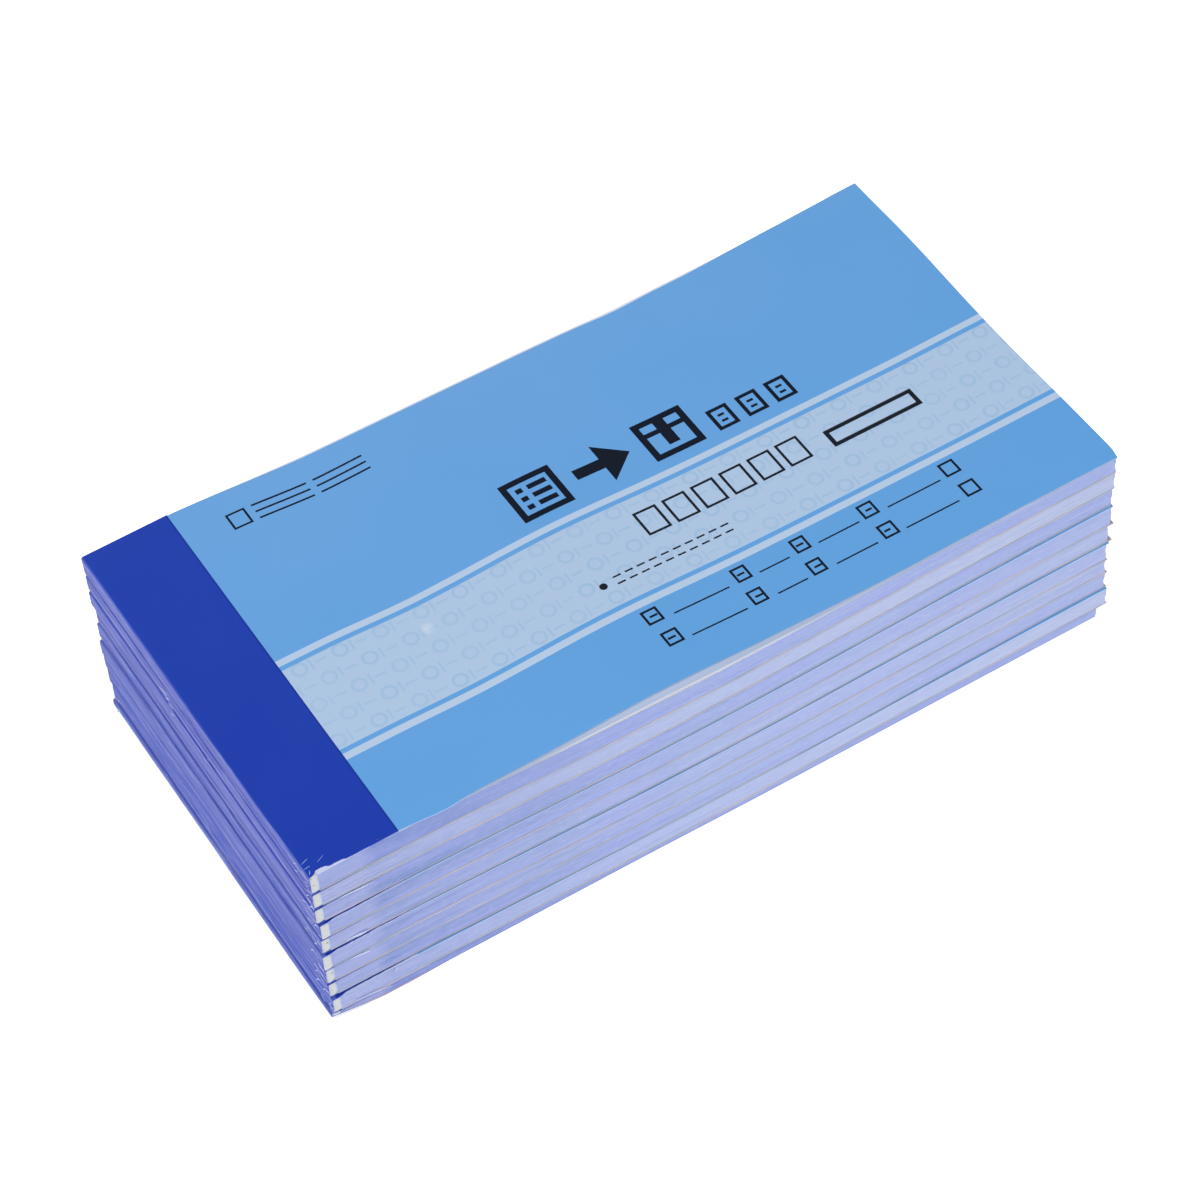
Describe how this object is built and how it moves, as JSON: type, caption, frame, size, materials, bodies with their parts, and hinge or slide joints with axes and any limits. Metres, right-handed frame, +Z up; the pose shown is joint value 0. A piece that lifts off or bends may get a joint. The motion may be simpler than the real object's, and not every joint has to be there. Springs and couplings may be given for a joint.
{
  "type": "form pad",
  "caption": "Pile of glue-bound carbonless form pads with blue covers and wrapped spines; pads lift off, and the top pad's cover and first leaves turn about a crease.",
  "frame": {"origin": "on the surface that the pile lies on, below the centre of the pile's bounding box", "axes": "+X along the leaves from the spine to the loose end, +Y across the leaves from the front edge to the back edge, +Z up out of the top cover"},
  "size_m": [0.1756, 0.0896, 0.0463],
  "materials": {
    "cover_print": "coated cover paper printed light blue with a pale band and stripes, semi-gloss",
    "blue_band": "the same coated paper printed solid royal blue, semi-gloss, rubbed pale on its folded edges",
    "leaf_edges": "cut edges of uncoated carbonless leaves, matt, finely lined",
    "white_leaf": "uncoated white form paper with plain ruled fields, matt",
    "pink_leaf": "uncoated pink form paper with plain ruled fields, matt",
    "yellow_leaf": "uncoated yellow form paper with plain ruled fields, matt",
    "back_board": "grey-brown chipboard, matt and speckled",
    "binding_glue": "cream hot-melt glue, waxy, with small pits"
  },
  "bodies": {
    "pad_10": {"pad_10_back_board": "back_board", "pad_10_leaf_block": "leaf_edges", "pad_10_glue_strip": "binding_glue", "pad_10_spine_wrap": "blue_band", "pad_10_front_cover": "cover_print"},
    "pad_09": {"pad_09_back_board": "back_board", "pad_09_leaf_block": "leaf_edges", "pad_09_glue_strip": "binding_glue", "pad_09_spine_wrap": "blue_band", "pad_09_front_cover": "cover_print"},
    "pad_08": {"pad_08_back_board": "back_board", "pad_08_leaf_block": "leaf_edges", "pad_08_glue_strip": "binding_glue", "pad_08_spine_wrap": "blue_band", "pad_08_front_cover": "cover_print"},
    "pad_07": {"pad_07_back_board": "back_board", "pad_07_leaf_block": "leaf_edges", "pad_07_glue_strip": "binding_glue", "pad_07_spine_wrap": "blue_band", "pad_07_front_cover": "cover_print"},
    "pad_06": {"pad_06_back_board": "back_board", "pad_06_leaf_block": "leaf_edges", "pad_06_glue_strip": "binding_glue", "pad_06_spine_wrap": "blue_band", "pad_06_front_cover": "cover_print"},
    "pad_05": {"pad_05_back_board": "back_board", "pad_05_leaf_block": "leaf_edges", "pad_05_glue_strip": "binding_glue", "pad_05_spine_wrap": "blue_band", "pad_05_front_cover": "cover_print"},
    "pad_04": {"pad_04_back_board": "back_board", "pad_04_leaf_block": "leaf_edges", "pad_04_glue_strip": "binding_glue", "pad_04_spine_wrap": "blue_band", "pad_04_front_cover": "cover_print"},
    "pad_03": {"pad_03_back_board": "back_board", "pad_03_leaf_block": "leaf_edges", "pad_03_glue_strip": "binding_glue", "pad_03_spine_wrap": "blue_band", "pad_03_front_cover": "cover_print"},
    "pad_02": {"pad_02_back_board": "back_board", "pad_02_leaf_block": "leaf_edges", "pad_02_glue_strip": "binding_glue", "pad_02_spine_wrap": "blue_band", "pad_02_front_cover": "cover_print"},
    "pad_01": {"pad_01_back_board": "back_board", "pad_01_leaf_block": "leaf_edges", "pad_01_glue_strip": "binding_glue", "pad_01_spine_wrap": "blue_band"},
    "yellow_leaf": {"pad_01_yellow_leaf": "yellow_leaf"},
    "pink_leaf": {"pad_01_pink_leaf": "pink_leaf"},
    "white_leaf": {"pad_01_white_leaf": "white_leaf"},
    "front_cover": {"pad_01_front_cover": "cover_print"}
  },
  "joints": [
    {"name": "lift_pad_09", "type": "slide", "parent": "pad_10", "child": "pad_09", "axis": [0, 0, 1], "range_m": [0, 0.05]},
    {"name": "lift_pad_08", "type": "slide", "parent": "pad_09", "child": "pad_08", "axis": [0, 0, 1], "range_m": [0, 0.05]},
    {"name": "lift_pad_07", "type": "slide", "parent": "pad_08", "child": "pad_07", "axis": [0, 0, 1], "range_m": [0, 0.05]},
    {"name": "lift_pad_06", "type": "slide", "parent": "pad_07", "child": "pad_06", "axis": [0, 0, 1], "range_m": [0, 0.05]},
    {"name": "lift_pad_05", "type": "slide", "parent": "pad_06", "child": "pad_05", "axis": [0, 0, 1], "range_m": [0, 0.05]},
    {"name": "lift_pad_04", "type": "slide", "parent": "pad_05", "child": "pad_04", "axis": [0, 0, 1], "range_m": [0, 0.05]},
    {"name": "lift_pad_03", "type": "slide", "parent": "pad_04", "child": "pad_03", "axis": [0, 0, 1], "range_m": [0, 0.05]},
    {"name": "lift_pad_02", "type": "slide", "parent": "pad_03", "child": "pad_02", "axis": [0, 0, 1], "range_m": [0, 0.05]},
    {"name": "lift_pad_01", "type": "slide", "parent": "pad_02", "child": "pad_01", "axis": [0, 0, 1], "range_m": [0, 0.05]},
    {"name": "turn_yellow_leaf", "type": "hinge", "parent": "pad_01", "child": "yellow_leaf", "pos_m": [-0.06942, 0, 0.04618], "axis": [0, -1, 0], "range_deg": [0, 13]},
    {"name": "turn_pink_leaf", "type": "hinge", "parent": "yellow_leaf", "child": "pink_leaf", "pos_m": [-0.06942, 0, 0.04618], "axis": [0, -1, 0], "range_deg": [0, 13]},
    {"name": "turn_white_leaf", "type": "hinge", "parent": "pink_leaf", "child": "white_leaf", "pos_m": [-0.06942, 0, 0.04618], "axis": [0, -1, 0], "range_deg": [0, 13]},
    {"name": "open_cover", "type": "hinge", "parent": "white_leaf", "child": "front_cover", "pos_m": [-0.06942, 0, 0.04618], "axis": [0, -1, 0], "range_deg": [0, 135]}
  ]
}
